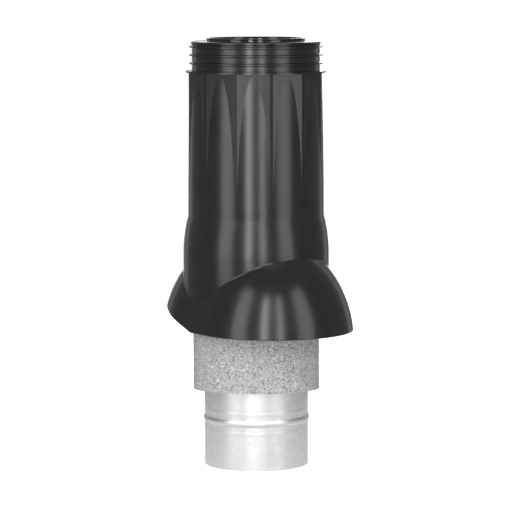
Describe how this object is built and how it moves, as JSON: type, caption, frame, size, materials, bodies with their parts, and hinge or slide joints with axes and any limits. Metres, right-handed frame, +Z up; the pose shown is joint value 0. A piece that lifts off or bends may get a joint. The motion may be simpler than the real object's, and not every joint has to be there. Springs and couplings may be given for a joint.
{
  "type": "insulated roof vent pipe",
  "caption": "Upright insulated roof vent outlet: ribbed neck, twelve-sided body and slope hood over a foam sleeve and a sheet-steel duct with a rolled bead.",
  "frame": {"origin": "on the duct's axis at its lower rim, where the part stands", "axes": "+Z up along the duct's axis; -Y is the down-slope side, towards which the hood reaches furthest; +X is to the right seen from the down-slope side"},
  "size_m": [0.1926, 0.2479, 0.5143],
  "materials": {
    "casing": "gloss",
    "foam": "coarse speckled foam",
    "zinc": "galvanised",
    "ring": "gloss"
  },
  "bodies": {
    "root": {"outer_casing": "casing", "insulation_sleeve": "foam", "inner_duct": "zinc", "top_ring": "ring"}
  },
  "joints": []
}
